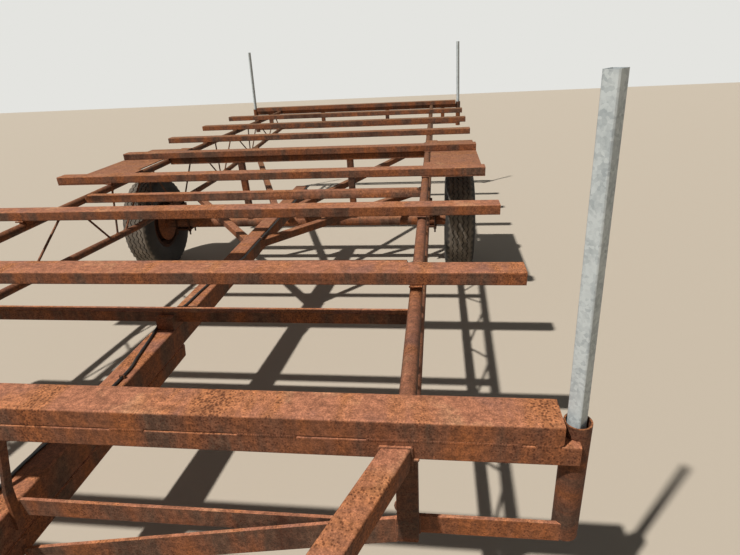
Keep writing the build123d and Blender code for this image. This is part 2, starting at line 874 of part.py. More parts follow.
def jack_sleeve():
    """Plumb sleeve, closed at the top, with a plate that stands on the side of the tongue."""
    at = jack_origin()
    tall = jack_sleeve_below + jack_sleeve_above
    middle = Pos(at.X, at.Y, at.Z + (jack_sleeve_above - jack_sleeve_below) / 2)
    sleeve = middle * Cylinder(jack_sleeve_radius, tall)
    plate_length = jack_standoff + jack_sleeve_radius
    plate = Pos(-backbone_half - plate_length / 2, jack_place, -backbone_depth)
    sleeve += stance * plate * Box(plate_length, jack_plate_width, jack_plate_height)
    bore = Cylinder(jack_sleeve_radius - jack_sleeve_wall, tall)
    return sleeve - middle * Pos(0, 0, -jack_sleeve_wall) * bore


def jack_leg():
    at = jack_origin()
    foot = Box(jack_foot_size, jack_foot_size, jack_foot_thick)
    foot = Pos(at.X, at.Y, ground + jack_foot_thick / 2) * foot
    place = Pos(at.X, at.Y, ground + jack_foot_thick)
    section = pipe_section(jack_leg_radius, jack_leg_wall)
    return foot + place * extrude(section, amount=jack_leg_length)


def jack_crank():
    """Gear head on the sleeve and a crank bent from one rod, with a turned grip."""
    at = jack_origin()
    foot = at.Z + jack_sleeve_above
    top = foot + jack_head_height
    arm = top + jack_crank_rise
    points = [
        (at.X, at.Y, foot + jack_head_height / 2),
        (at.X, at.Y, arm),
        (at.X - jack_crank_reach, at.Y, arm),
        (at.X - jack_crank_reach, at.Y, arm + jack_grip_length),
    ]
    path = FilletPolyline(*points, radius=jack_crank_radius * 3)
    rod = sweep(Plane(origin=path @ 0, z_dir=path % 0) * Circle(jack_crank_radius), path=path)
    head = Pos(at.X, at.Y, foot + jack_head_height / 2) * Cylinder(jack_head_radius, jack_head_height)
    grip_height = jack_grip_length * 0.7
    grip = Pos(at.X - jack_crank_reach, at.Y, arm + jack_grip_length + 5 - grip_height / 2)
    return rod + head + grip * Cylinder(jack_grip_radius, grip_height)


def deck_pieces():
    """Name and solid of every piece drawn in the deck's frame."""
    pieces = {}
    for number in range(len(cross_places)):
        pieces[f"crossmember_{number + 1}"] = crossmember(number)
    pieces["front_beam"] = end_beam(True)
    pieces["rear_beam"] = end_beam(False)
    pieces["front_tie"] = front_tie()
    pieces["rear_tie"] = rear_tie()
    pieces["end_posts"] = end_posts()
    pieces["hangers"] = hangers()
    pieces["stake_sockets"] = stake_sockets()
    pieces["backbone"] = backbone()
    pieces["tongue_liner"] = tongue_liner()
    pieces["lower_braces"] = lower_braces()
    pieces["hounds"] = hounds()
    pieces["wiring_cable"] = wiring_cable()
    pieces["cable_plug"] = cable_plug()
    pieces["cable_guides"] = cable_guides()
    pieces["low_cross_tube"] = low_cross_tube()
    for number, place in enumerate(rail_tube_places):
        pieces[f"rail_cross_tube_{number + 1}"] = rail_cross_tube(place)
    pieces["rail_pads"] = rail_pads()
    pieces["axle"] = axle()
    pieces["axle_posts"] = axle_posts()
    pieces["axle_saddles"] = axle_saddles()
    pieces["axle_clamps"] = axle_clamps()
    pieces["hitch"] = hitch()
    for name, side in SIDES:
        pieces[f"rail_{name}"] = rail(side)
        pieces[f"chord_{name}"] = chord(side)
        pieces[f"lacing_{name}"] = lacing(side)
        pieces[f"tongue_brace_{name}"] = tongue_brace(side)
        pieces[f"stake_front_{name}"] = stake(side, True)
        pieces[f"stake_rear_{name}"] = stake(side, False)
        pieces[f"fender_{name}"] = fender(side)
        pieces[f"hub_{name}"] = hub(side)
        pieces[f"rim_{name}"] = rim(side)
        pieces[f"tyre_{name}"] = tyre(side)
    return pieces


def main():
    os.makedirs("parts", exist_ok=True)
    for name, piece in deck_pieces().items():
        export_step(stance * piece, f"parts/{name}.step")
    standing = {"jack_sleeve": jack_sleeve(), "jack_leg": jack_leg(), "jack_crank": jack_crank()}
    for name, piece in standing.items():
        export_step(piece, f"parts/{name}.step")
    print("ground below the hitch pin", round(ground, 2))
    print("axle", [round(v, 2) for v in tuple(axle_world)])
    jack = jack_origin()
    print("jack", [round(v, 2) for v in tuple(jack)])
    print("jack sleeve's foot above ground", round(jack.Z - jack_sleeve_below - ground, 1))


main()
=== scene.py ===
# A low pipe trailer, dressed for its picture: rusted tube and plate, galvanised stakes, treaded
# tyres, wheel nuts, clamp nuts and weld beads. Lengths are in metres in the part's own frame:
# X to the right, Y to the rear, Z up, with the origin at the hitch pin.

import math

import bpy
from mathutils import Matrix, Vector


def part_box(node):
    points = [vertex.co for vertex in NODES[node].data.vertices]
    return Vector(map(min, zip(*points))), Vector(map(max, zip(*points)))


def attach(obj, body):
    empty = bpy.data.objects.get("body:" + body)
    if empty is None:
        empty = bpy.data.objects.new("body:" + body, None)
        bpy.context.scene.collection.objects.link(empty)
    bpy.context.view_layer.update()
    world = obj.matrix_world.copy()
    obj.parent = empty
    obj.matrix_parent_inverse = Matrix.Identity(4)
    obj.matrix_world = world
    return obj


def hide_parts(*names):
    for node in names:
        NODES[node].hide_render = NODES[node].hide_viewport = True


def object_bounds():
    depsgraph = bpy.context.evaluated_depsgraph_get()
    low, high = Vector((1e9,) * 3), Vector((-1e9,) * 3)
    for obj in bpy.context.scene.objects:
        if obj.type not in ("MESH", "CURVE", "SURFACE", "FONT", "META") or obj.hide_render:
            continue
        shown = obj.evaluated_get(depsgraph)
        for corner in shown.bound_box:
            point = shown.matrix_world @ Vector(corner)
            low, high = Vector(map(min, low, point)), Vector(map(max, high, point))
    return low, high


bl_info = {
    "name": "Pipe trailer",
    "version": (1, 0, 0),
    "blender": (4, 5, 0),
    "location": "View3D > Sidebar > Pipe trailer",
    "description": "Dresses the pipe trailer: rust, zinc, rubber, tread, nuts and welds",
    "category": "Object",
}

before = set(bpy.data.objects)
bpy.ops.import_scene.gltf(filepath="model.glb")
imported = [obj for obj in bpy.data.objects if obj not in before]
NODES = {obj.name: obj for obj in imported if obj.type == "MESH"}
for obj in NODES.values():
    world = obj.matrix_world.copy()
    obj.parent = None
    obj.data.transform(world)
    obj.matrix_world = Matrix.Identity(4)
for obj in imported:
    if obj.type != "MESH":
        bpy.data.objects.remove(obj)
cad_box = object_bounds()
MM = 0.001
SIDES = (("left", -1), ("right", 1))

# The deck's own axes: millimetres across, along and up from the front edge of its top, which
# stands nose down on the jack.
NOSE_DOWN = math.radians(3.72)
PIN_ON_DECK = Vector((0, -2352, -402.8))
DECK = Matrix.Rotation(NOSE_DOWN, 4, "X") @ Matrix.Scale(MM, 4) @ Matrix.Translation(-PIN_ON_DECK)

# Places that the welds and fastenings go to, on the deck's axes.
RAIL_X = 1110
PIPE_RADIUS = 24.15
CROSS_WIDTH = 101.6
CROSS_HEIGHT = 50.8
TUBE = 50.8
CROSS_PLACES = (0, 808.5, 1644.5, 2516, 3389.4, 4224.3, 5071.2, 5915.6, 6947.3)
DECK_END = CROSS_PLACES[-1] + CROSS_WIDTH
AXLE_PLACE = 3495
AXLE_DEPTH = 652
AXLE_RADIUS = 44.45

# Centre lines of rail and lower chord: (place, depth).
RAIL_LINE = ((25, 104.95), (3440, 74.95), (7023, 74.95))
CHORD_LINE = ((25, 294), (2750, 445), (4300, 445), (7023, 294))

# Web rods of each truss: (where it meets the rail, where it meets the chord).
WEB_RODS = (
    (330, 150), (400, 560), (830, 620), (900, 985), (1290, 1015), (1320, 1565), (1981, 1611),
    (2110, 2375), (2542, 2480), (2950, 2590), (3072, 2998), (3136, 3350), (3880, 3600),
    (4055, 4425), (4469, 4475), (4927, 4610), (5035, 5427), (5518, 5486), (5835, 5578),
    (5942, 6270), (6640, 6330), (6700, 6880),
)


def linear(text):
    """An sRGB hex colour as the linear numbers that a shader takes."""
    parts = [int(text[i : i + 2], 16) / 255 for i in (1, 3, 5)]
    return tuple(c / 12.92 if c <= 0.04045 else ((c + 0.055) / 1.055) ** 2.4 for c in parts)


def colour(name, text, description):
    return bpy.props.FloatVectorProperty(
        name=name, description=description, subtype="COLOR", size=3, min=0, max=1,
        default=linear(text),
    )


def length(name, millimetres, description):
    return bpy.props.FloatProperty(
        name=name, description=description, subtype="DISTANCE", unit="LENGTH", min=0,
        default=millimetres * MM,
    )


def per_metre(millimetres):
    """How many of a pattern's grains or patches of this size lie in a metre."""
    return 1 / (millimetres * MM)


class StageSettings(bpy.types.PropertyGroup):
    floor: colour("Floor", "#cbbfae", "Pale plain floor")
    backdrop: colour("Backdrop", "#e4e4e0", "Pale backdrop that shows past the floor")
    eye: bpy.props.FloatVectorProperty(
        name="Eye", description="Where the camera stands", subtype="TRANSLATION", unit="LENGTH",
        default=(1.1832, 1.3767, 1.2274),
    )
    turn: bpy.props.FloatVectorProperty(
        name="Turn", description="How the camera is turned", subtype="EULER", unit="ROTATION",
        default=tuple(math.radians(a) for a in (70.091, 2.397, 6.788)),
    )
    lens: bpy.props.FloatProperty(
        name="Lens", description="Focal length in millimetres", default=25.556
    )
    key_way: bpy.props.FloatVectorProperty(
        name="Key way", description="The way that the key lamp's light goes", subtype="DIRECTION",
        default=(0.3743, 0.4803, -0.7932),
    )
    key_strength: bpy.props.FloatProperty(
        name="Key", description="Strength of the key lamp", default=3.62
    )
    fill_strength: bpy.props.FloatProperty(
        name="Fill", description="Strength of the room's light", default=0.07
    )


class SteelSettings(bpy.types.PropertyGroup):
    top: colour("Top rust", "#b87a5c", "Dry, dusty rust on upper faces")
    top_pink: colour("Pink rust", "#a26f5b", "Where the dust on upper faces is greyer")
    top_orange: colour("Orange rust", "#c88150", "Fresh orange patches on upper faces")
    top_pale: colour("Pale rust", "#cf9872", "Rubbed, palest rust")
    top_rear: colour("Rear rust", "#76563a", "Browner rust towards the trailer's rear")
    side: colour("Side rust", "#7d5039", "Rust on upright faces")
    side_grey: colour("Mill scale", "#644a3b", "Grey-brown scale that still holds on upright faces")
    side_orange: colour("Side orange", "#935833", "Orange bands on upright faces")
    side_dark: colour("Dark rust", "#4f2f21", "Old dark rust")
    pit: colour("Pits", "#46200f", "Bottoms of rust pits")
    pit_pitch: length("Pit pitch", 7.5, "Distance between rust pits")


class ZincSettings(bpy.types.PropertyGroup):
    zinc: colour("Zinc", "#c6ced0", "Weathered hot-dip zinc")
    zinc_dull: colour("Dull zinc", "#a2abaf", "Darker crystals and stain")
    spangle: length("Spangle", 7.0, "Size of the zinc crystals")


class TyreSettings(bpy.types.PropertyGroup):
    rubber: colour("Rubber", "#171718", "Aged black rubber")
    dust: colour("Dust", "#7f7467", "Dried road dust on the tread")
    groove_depth: length("Groove depth", 9.0, "Depth of the tread grooves")
    groove_width: length("Groove width", 9.0, "Width of the tread grooves")
    zigzag: length("Zigzag", 15.0, "How far the grooves swing from side to side")
    steps: bpy.props.IntProperty(name="Steps", description="Zigzag points round the tyre", default=90)


class CableSettings(bpy.types.PropertyGroup):
    sheath: colour("Sheath", "#131313", "Black cable sheath")
    dust: colour("Dust", "#39332c", "Dust on the sheath")


class FasteningSettings(bpy.types.PropertyGroup):
    nut_across: length("Nut width", 24.0, "Width across the flats of the nuts")
    nut_height: length("Nut height", 13.0, "Height of the nuts")
    bead: length("Bead", 5.0, "Half width of a weld bead")


def add(tree, kind, settings=None, links=None):
    """Adds a node. Settings name its properties or inputs, and links what feeds its inputs."""
    node = tree.nodes.new(kind)
    for key, value in (settings or {}).items():
        if key == "stops":
            ramp = node.color_ramp
            while len(ramp.elements) < len(value):
                ramp.elements.new(0.5)
            for element, (place, stop) in zip(ramp.elements, value):
                element.position = place
                element.color = (*stop, 1)
        elif isinstance(key, str) and hasattr(node, key):
            setattr(node, key, value)
        else:
            node.inputs[key].default_value = value
    for key, source in (links or {}).items():
        tree.links.new(source, node.inputs[key])
    return node


def start(name):
    """A new material with its tree, its Principled shader and Object coordinates."""
    material = bpy.data.materials.new(name)
    material.use_nodes = True
    tree = material.node_tree
    tree.nodes.clear()
    shader = add(tree, "ShaderNodeBsdfPrincipled")
    add(tree, "ShaderNodeOutputMaterial", links={"Surface": shader.outputs[0]})
    where = add(tree, "ShaderNodeTexCoord")
    return material, tree, shader, where


# Sizes of the rust's patterns, in millimetres. The grain is coarse enough to show in the picture.
BAND_LENGTH = 153.85
BAND_WIDTH = 625
STREAK_LENGTH = 250
STREAK_WIDTH = 9.091
RUST_CLOUD = 181.8
RUST_MOTTLE = 18.18
RUST_GRAIN = 4.1667
BUMP_HEIGHT = 0.8

# Where along the trailer the rust starts to turn browner, and where it is brownest, in metres.
BROWN_FROM = 3.6
BROWN_TO = 7.5


def rusted_steel(name, settings, axis=0, tone_and_painted_shade=1.0):
    """Hot-rolled mild steel left out for years: dry rust over pitted mill scale.

    Upper faces are paler with dust, in pink and orange clouds, and every hand's width a band of
    dark pits crosses the tube in a halo of fresh rust. Upright faces are browner and pitted all
    over. axis is the one that the tube runs along.
    """
    material, tree, shader, where = start(name)
    spot = where.outputs["Object"]
    across = [per_metre(BAND_WIDTH)] * 3
    across[axis] = per_metre(BAND_LENGTH)
    lengthwise = [per_metre(STREAK_WIDTH)] * 3
    lengthwise[axis] = per_metre(STREAK_LENGTH)
    noise = "ShaderNodeTexNoise"
    banded = add(tree, "ShaderNodeMapping", {"Scale": across}, {"Vector": spot})
    moved = add(
        tree, "ShaderNodeMapping", {"Scale": across, "Location": (3, 7, 5)}, {"Vector": spot}
    )
    drawn = add(tree, "ShaderNodeMapping", {"Scale": lengthwise}, {"Vector": spot})
    band = add(
        tree, noise, {"Scale": 1.0, "Detail": 5.0, "Roughness": 0.6}, {"Vector": banded.outputs[0]}
    )
    cluster = add(
        tree, noise, {"Scale": 1.0, "Detail": 5.0, "Roughness": 0.62}, {"Vector": moved.outputs[0]}
    )
    streak = add(tree, noise, {"Scale": 1.0, "Detail": 3.0}, {"Vector": drawn.outputs[0]})
    cloud = add(
        tree, noise, {"Scale": per_metre(RUST_CLOUD), "Detail": 6.0, "Roughness": 0.62},
        {"Vector": spot},
    )
    mottle = add(
        tree, noise, {"Scale": per_metre(RUST_MOTTLE), "Detail": 6.0, "Roughness": 0.75},
        {"Vector": spot},
    )
    grain = add(
        tree, noise, {"Scale": per_metre(RUST_GRAIN), "Detail": 4.0, "Roughness": 0.7},
        {"Vector": spot},
    )
    pits = add(tree, "ShaderNodeTexVoronoi", {"Scale": 1 / settings.pit_pitch}, {"Vector": spot})
    split = add(tree, "ShaderNodeSeparateXYZ", links={0: spot})
    facing = add(tree, "ShaderNodeSeparateXYZ", links={0: where.outputs["Normal"]})
    up = add(
        tree, "ShaderNodeMapRange",
        {"From Min": 0.15, "From Max": 0.9, "interpolation_type": "SMOOTHSTEP"},
        {"Value": facing.outputs["Z"]},
    )

    dusty = add(
        tree, "ShaderNodeValToRGB",
        {
            "stops": [
                (0.36, settings.top_pink), (0.47, settings.top), (0.56, settings.top),
                (0.68, settings.top_pale),
            ]
        },
        {0: cloud.outputs["Fac"]},
    )
    fresh = add(
        tree, "ShaderNodeMapRange", {"From Min": 0.48, "From Max": 0.6, "To Max": 0.7},
        {"Value": cluster.outputs["Fac"]},
    )
    clouded = add(
        tree, "ShaderNodeMix", {"data_type": "RGBA", 7: (*settings.top_orange, 1)},
        {0: fresh.outputs[0], 6: dusty.outputs[0]},
    )
    rearward = add(
        tree, "ShaderNodeMapRange", {"From Min": BROWN_FROM, "From Max": BROWN_TO, "To Max": 0.85},
        {"Value": split.outputs["Y"]},
    )
    top = add(
        tree, "ShaderNodeMix", {"data_type": "RGBA", 7: (*settings.top_rear, 1)},
        {0: rearward.outputs[0], 6: clouded.outputs[2]},
    )
    side = add(
        tree, "ShaderNodeValToRGB",
        {
            "stops": [
                (0.3, settings.side_dark), (0.42, settings.side_grey), (0.5, settings.side),
                (0.62, settings.side_orange), (0.74, settings.side),
            ]
        },
        {0: band.outputs["Fac"]},
    )
    faces = add(
        tree, "ShaderNodeMix", {"data_type": "RGBA"},
        {0: up.outputs[0], 6: side.outputs[0], 7: top.outputs[2]},
    )

    speckle = add(
        tree, "ShaderNodeMapRange", {"From Min": 0.38, "From Max": 0.62, "To Min": 0.6, "To Max": 1.25},
        {"Value": mottle.outputs["Fac"]},
    )
    fine = add(
        tree, "ShaderNodeMapRange", {"From Min": 0.38, "From Max": 0.62, "To Min": 0.68, "To Max": 1.25},
        {"Value": grain.outputs["Fac"]},
    )
    lines = add(
        tree, "ShaderNodeMapRange", {"From Min": 0.3, "From Max": 0.7, "To Min": 0.88, "To Max": 1.12},
        {"Value": streak.outputs["Fac"]},
    )
    both = add(
        tree, "ShaderNodeMath", {"operation": "MULTIPLY"},
        {0: speckle.outputs[0], 1: fine.outputs[0]},
    )
    all_three = add(
        tree, "ShaderNodeMath", {"operation": "MULTIPLY"}, {0: both.outputs[0], 1: lines.outputs[0]}
    )
    # tone_and_painted_shade scales the whole colour. For most pieces it is their tone, and for the running
    # gear and the upright pieces it is painted shade.
    shaded = add(
        tree, "ShaderNodeMath", {"operation": "MULTIPLY", 1: tone_and_painted_shade}, {0: all_three.outputs[0]}
    )
    grained = add(
        tree, "ShaderNodeMix", {"data_type": "RGBA", "blend_type": "MULTIPLY", 0: 1.0},
        {6: faces.outputs[2], 7: shaded.outputs[0]},
    )

    on_top = add(
        tree, "ShaderNodeMapRange", {"From Min": 0.47, "From Max": 0.64, "To Min": 0.1, "To Max": 0.58},
        {"Value": cluster.outputs["Fac"]},
    )
    on_side = add(
        tree, "ShaderNodeMapRange", {"From Min": 0.35, "From Max": 0.65, "To Min": 0.22, "To Max": 0.5},
        {"Value": cluster.outputs["Fac"]},
    )
    size = add(
        tree, "ShaderNodeMix", {}, {0: up.outputs[0], 2: on_side.outputs[0], 3: on_top.outputs[0]}
    )
    inside = add(
        tree, "ShaderNodeMath", {"operation": "SUBTRACT"},
        {0: size.outputs[0], 1: pits.outputs["Distance"]},
    )
    pitted = add(
        tree, "ShaderNodeMapRange", {"From Min": 0.0, "From Max": 0.2, "To Max": 0.7},
        {"Value": inside.outputs[0]},
    )
    finished = add(
        tree, "ShaderNodeMix", {"data_type": "RGBA", 7: (*settings.pit, 1)},
        {0: pitted.outputs[0], 6: grained.outputs[2]},
    )
    tree.links.new(finished.outputs[2], shader.inputs["Base Color"])
    rough = add(
        tree, "ShaderNodeMapRange", {"To Min": 0.74, "To Max": 0.95}, {"Value": mottle.outputs["Fac"]}
    )
    tree.links.new(rough.outputs[0], shader.inputs["Roughness"])
    relief = add(
        tree, "ShaderNodeMath", {"operation": "MULTIPLY_ADD", 1: 0.4},
        {0: grain.outputs["Fac"], 2: mottle.outputs["Fac"]},
    )
    dented = add(
        tree, "ShaderNodeMath", {"operation": "SUBTRACT"},
        {0: relief.outputs[0], 1: pitted.outputs[0]},
    )
    bump = add(
        tree, "ShaderNodeBump", {"Strength": 0.5, "Distance": BUMP_HEIGHT * MM},
        {"Height": dented.outputs[0]},
    )
    tree.links.new(bump.outputs[0], shader.inputs["Normal"])
    shader.inputs["Specular IOR Level"].default_value = 0.3
    return material


# Sizes of the zinc's stains, the rubber's dust and grain and the sheath's dust, in millimetres.
ZINC_STAIN = 45.45
ZINC_BUMP = 0.2
RUBBER_DUST = 71.43
RUBBER_GRAIN = 3.333
RUBBER_BUMP = 0.3
SHEATH_DUST = 25


def galvanised_tube(name, settings):
    """Hot-dip galvanised square tube: pale grey, with faint crystals and white stain.

    A skin of zinc carbonate has grown over it, so it is dull and hardly shines like a metal.
    """
    material, tree, shader, where = start(name)
    spot = where.outputs["Object"]
    crystal = add(tree, "ShaderNodeTexVoronoi", {"Scale": 1 / settings.spangle}, {"Vector": spot})
    shade = add(tree, "ShaderNodeSeparateColor", links={0: crystal.outputs["Color"]})
    stain = add(
        tree, "ShaderNodeTexNoise", {"Scale": per_metre(ZINC_STAIN), "Detail": 7.0, "Roughness": 0.7},
        {"Vector": spot},
    )
    blend = add(
        tree, "ShaderNodeMath", {"operation": "MULTIPLY_ADD", 1: 0.3},
        {0: shade.outputs[0], 2: stain.outputs["Fac"]},
    )
    ramp = add(
        tree, "ShaderNodeValToRGB", {"stops": [(0.42, settings.zinc_dull), (0.78, settings.zinc)]},
        {0: blend.outputs[0]},
    )
    tree.links.new(ramp.outputs[0], shader.inputs["Base Color"])
    rough = add(
        tree, "ShaderNodeMapRange", {"To Min": 0.55, "To Max": 0.75}, {"Value": stain.outputs["Fac"]}
    )
    tree.links.new(rough.outputs[0], shader.inputs["Roughness"])
    bump = add(
        tree, "ShaderNodeBump", {"Strength": 0.15, "Distance": ZINC_BUMP * MM},
        {"Height": blend.outputs[0]},
    )
    tree.links.new(bump.outputs[0], shader.inputs["Normal"])
    shader.inputs["Metallic"].default_value = 0.05
    shader.inputs["Specular IOR Level"].default_value = 0.2
    return material


def dusty_rubber(name, settings):
    """Vulcanised tyre rubber, greyed by the sun: dust lies on the tread, the grooves stay dark."""
    material, tree, shader, where = start(name)
    spot = where.outputs["Object"]
    axle = DECK @ Vector((0, AXLE_PLACE, -AXLE_DEPTH))
    from_axle = add(
        tree, "ShaderNodeVectorMath", {"operation": "SUBTRACT", 1: tuple(axle)}, {0: spot}
    )
    round_axle = add(
        tree, "ShaderNodeVectorMath", {"operation": "MULTIPLY", 1: (0, 1, 1)},
        {0: from_axle.outputs[0]},
    )
    radius = add(tree, "ShaderNodeVectorMath", {"operation": "LENGTH"}, {0: round_axle.outputs[0]})
    on_tread = add(
        tree, "ShaderNodeMapRange",
        {
            "From Min": (TYRE_RADIUS - 14) * MM, "From Max": (TYRE_RADIUS - 2) * MM,
            "To Min": 0.1, "To Max": 0.62,
        },
        {"Value": radius.outputs["Value"]},
    )
    cloud = add(
        tree, "ShaderNodeTexNoise", {"Scale": per_metre(RUBBER_DUST), "Detail": 8.0, "Roughness": 0.7},
        {"Vector": spot},
    )
    patchy = add(
        tree, "ShaderNodeMapRange", {"From Min": 0.3, "From Max": 0.7, "To Min": 0.4, "To Max": 1.5},
        {"Value": cloud.outputs["Fac"]},
    )
    amount = add(
        tree, "ShaderNodeMath", {"operation": "MULTIPLY"},
        {0: on_tread.outputs[0], 1: patchy.outputs[0]},
    )
    dusted = add(
        tree, "ShaderNodeMix", {"data_type": "RGBA", 6: (*settings.rubber, 1), 7: (*settings.dust, 1)},
        {0: amount.outputs[0]},
    )
    tree.links.new(dusted.outputs[2], shader.inputs["Base Color"])
    fine = add(
        tree, "ShaderNodeTexNoise", {"Scale": per_metre(RUBBER_GRAIN), "Detail": 4.0},
        {"Vector": spot},
    )
    bump = add(
        tree, "ShaderNodeBump", {"Strength": 0.3, "Distance": RUBBER_BUMP * MM},
        {"Height": fine.outputs["Fac"]},
    )
    tree.links.new(bump.outputs[0], shader.inputs["Normal"])
    shader.inputs["Roughness"].default_value = 0.85
    return material


def cable_sheath(name, settings):
    """Black PVC cable sheath, extruded smooth and dulled by dust."""
    material, tree, shader, where = start(name)
    cloud = add(
        tree, "ShaderNodeTexNoise", {"Scale": per_metre(SHEATH_DUST), "Detail": 5.0},
        {"Vector": where.outputs["Object"]},
    )
    ramp = add(
        tree, "ShaderNodeValToRGB", {"stops": [(0.45, settings.sheath), (0.8, settings.dust)]},
        {0: cloud.outputs["Fac"]},
    )
    tree.links.new(ramp.outputs[0], shader.inputs["Base Color"])
    shader.inputs["Roughness"].default_value = 0.5
    return material


MATERIALS = {}


def finish_of(name):
    """Each finish is made once, when a piece first asks for it."""
    if name not in MATERIALS:
        scene = bpy.context.scene
        steel = scene.trailer_steel
        makers = {
            "across": lambda: rusted_steel("rusted rectangular tube", steel),
            "along": lambda: rusted_steel("rusted tube along the trailer", steel, axis=1, tone_and_painted_shade=0.92),
            "pipe": lambda: rusted_steel("rusted pipe along the trailer", steel, axis=1, tone_and_painted_shade=0.64),
            # The upright pieces' rust is darkened to 0.7. This is painted shade, as if the posts, sockets,
            # straps and jack stood in the shade of the beams above them.
            "upright": lambda: rusted_steel("rusted upright pipe and posts darkened with painted shade", steel, axis=2, tone_and_painted_shade=0.7),
            "plate": lambda: rusted_steel("rusted plate and castings", steel, axis=1, tone_and_painted_shade=0.95),
            # The running gear's rust is darkened to about a quarter. The drums and hubs are dark rusted
            # iron, and the rest of that darkness is painted shade, as if the rims, hubs, axle clamps and
            # their nuts stood in the shade under the fenders and the deck.
            "running": lambda: rusted_steel("rusted running gear darkened with painted shade", steel, axis=1, tone_and_painted_shade=0.27),
            "zinc": lambda: galvanised_tube("galvanised square tube", scene.trailer_zinc),
            "rubber": lambda: dusty_rubber("dusty rubber", scene.trailer_tyre),
            "sheath": lambda: cable_sheath("black cable sheath", scene.trailer_cable),
        }
        MATERIALS[name] = makers[name]()
    return MATERIALS[name]


def alone(piece):
    """Makes one piece the only selected one."""
    bpy.ops.object.select_all(action="DESELECT")
    piece.select_set(True)
    bpy.context.view_layer.objects.active = piece


def settle(piece, place):
    """Moves a piece that was modelled at the origin to its place, in its mesh."""
    alone(piece)
    piece.matrix_world = place
    bpy.ops.object.transform_apply(location=True, rotation=True, scale=True)


def joined(pieces, name):
    bpy.ops.object.select_all(action="DESELECT")
    for piece in pieces:
        piece.select_set(True)
    bpy.context.view_layer.objects.active = pieces[0]
    if len(pieces) > 1:
        bpy.ops.object.join()
    whole = bpy.context.object
    whole.name = name
    return whole


def wear(piece, finish, body, smooth=35):
    """Gives a finished piece its material, smooth curves and the body that it moves with."""
    piece.data.materials.clear()
    piece.data.materials.append(finish_of(finish))
    alone(piece)
    bpy.ops.object.shade_smooth_by_angle(angle=math.radians(smooth))
    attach(piece, body)


def copy_of(piece):
    twin = piece.copy()
    twin.data = piece.data.copy()
    bpy.context.scene.collection.objects.link(twin)
    return twin


def on_deck(x, y, z):
    return DECK @ Vector((x, y, z))


def depth_on(line, y):
    for (y0, depth0), (y1, depth1) in zip(line, line[1:]):
        if y <= y1:
            return depth0 + (depth1 - depth0) * (y - y0) / (y1 - y0)
    return line[-1][1]


# The floor's size and the middle of its length, in metres.
FLOOR_SIZE = 160
FLOOR_MIDDLE = 5
KEY_COLOUR = (1.0, 0.97, 0.92)
KEY_ANGLE = math.radians(1.5)
FILL_COLOUR = (0.95, 0.98, 1.0, 1)
SENSOR_WIDTH = 36
FARTHEST = 200


class PIPE_TRAILER_OT_stage(bpy.types.Operator):
    """Lays the floor and backdrop, and sets the lamps and the camera"""

    bl_idname = "pipe_trailer.stage"
    bl_label = "Stage"

    def execute(self, context):
        settings = context.scene.trailer_stage
        ground = cad_box[0][2]
        bpy.ops.object.select_all(action="DESELECT")
        bpy.ops.mesh.primitive_grid_add(
            x_subdivisions=4, y_subdivisions=4, size=FLOOR_SIZE, location=(0, FLOOR_MIDDLE, ground)
        )
        floor = context.object
        floor.name = "floor"
        material, tree, shader, _ = start("pale painted floor")
        shader.inputs["Base Color"].default_value = (*settings.floor, 1)
        shader.inputs["Roughness"].default_value = 0.9
        floor.data.materials.append(material)
        world = bpy.data.worlds.new("pale room")
        world.use_nodes = True
        tree = world.node_tree
        tree.nodes.clear()
        seen = add(tree, "ShaderNodeLightPath")
        ray = add(
            tree, "ShaderNodeMath", {"operation": "MAXIMUM"},
            {0: seen.outputs["Is Camera Ray"], 1: seen.outputs["Is Glossy Ray"]},
        )
        fill = add(
            tree, "ShaderNodeBackground", {"Color": FILL_COLOUR, "Strength": settings.fill_strength}
        )
        shown = add(
            tree, "ShaderNodeBackground", {"Color": (*settings.backdrop, 1), "Strength": 1.0}
        )
        both = add(
            tree, "ShaderNodeMixShader",
            links={0: ray.outputs[0], 1: fill.outputs[0], 2: shown.outputs[0]},
        )
        add(tree, "ShaderNodeOutputWorld", links={"Surface": both.outputs[0]})
        context.scene.world = world
        key = bpy.data.lights.new("key", "SUN")
        key.energy = settings.key_strength
        key.angle = KEY_ANGLE
        key.color = KEY_COLOUR
        lamp = bpy.data.objects.new("key", key)
        lamp.rotation_euler = Vector(settings.key_way).to_track_quat("-Z", "Y").to_euler()
        context.scene.collection.objects.link(lamp)
        view = bpy.data.cameras.new("photo")
        view.lens = settings.lens
        view.sensor_width = SENSOR_WIDTH
        view.clip_end = FARTHEST
        camera = bpy.data.objects.new("photo", view)
        camera.location = settings.eye
        camera.rotation_euler = settings.turn
        context.scene.collection.objects.link(camera)
        context.scene.camera = camera
        context.scene.view_settings.view_transform = "Standard"
        return {"FINISHED"}


class PIPE_TRAILER_OT_finishes(bpy.types.Operator):
    """Gives every piece of tube, plate and casting its rust, zinc or rubber"""

    bl_idname = "pipe_trailer.finishes"
    bl_label = "Finishes"

    def execute(self, context):
        families = (
            ("zinc", ("stake_front", "stake_rear")),
            ("rubber", ("tyre",)),
            ("sheath", ("wiring_cable", "cable_plug")),
            ("pipe", ("rail_left", "rail_right", "chord", "lacing")),
            ("along", ("backbone", "tongue", "hounds")),
            # The axle clamps, rims and hubs take the running gear's finish and the sockets, posts, straps
            # and jack the upright one; both are darkened with painted shade.
            ("running", ("axle_clamps",)),
            ("across", ("crossmember", "low_cross", "rail_cross", "front", "rear", "axle", "lower")),
            ("upright", ("stake_sockets", "end_posts", "hangers", "jack")),
            ("running", ("rim", "hub")),
            ("plate", ("",)),
        )
        for node in NODES:
            finish = next(finish for finish, starts in families if node.startswith(starts))
            slots = NODES[node].data.materials
            slots.clear()
            slots.append(finish_of(finish))
        return {"FINISHED"}


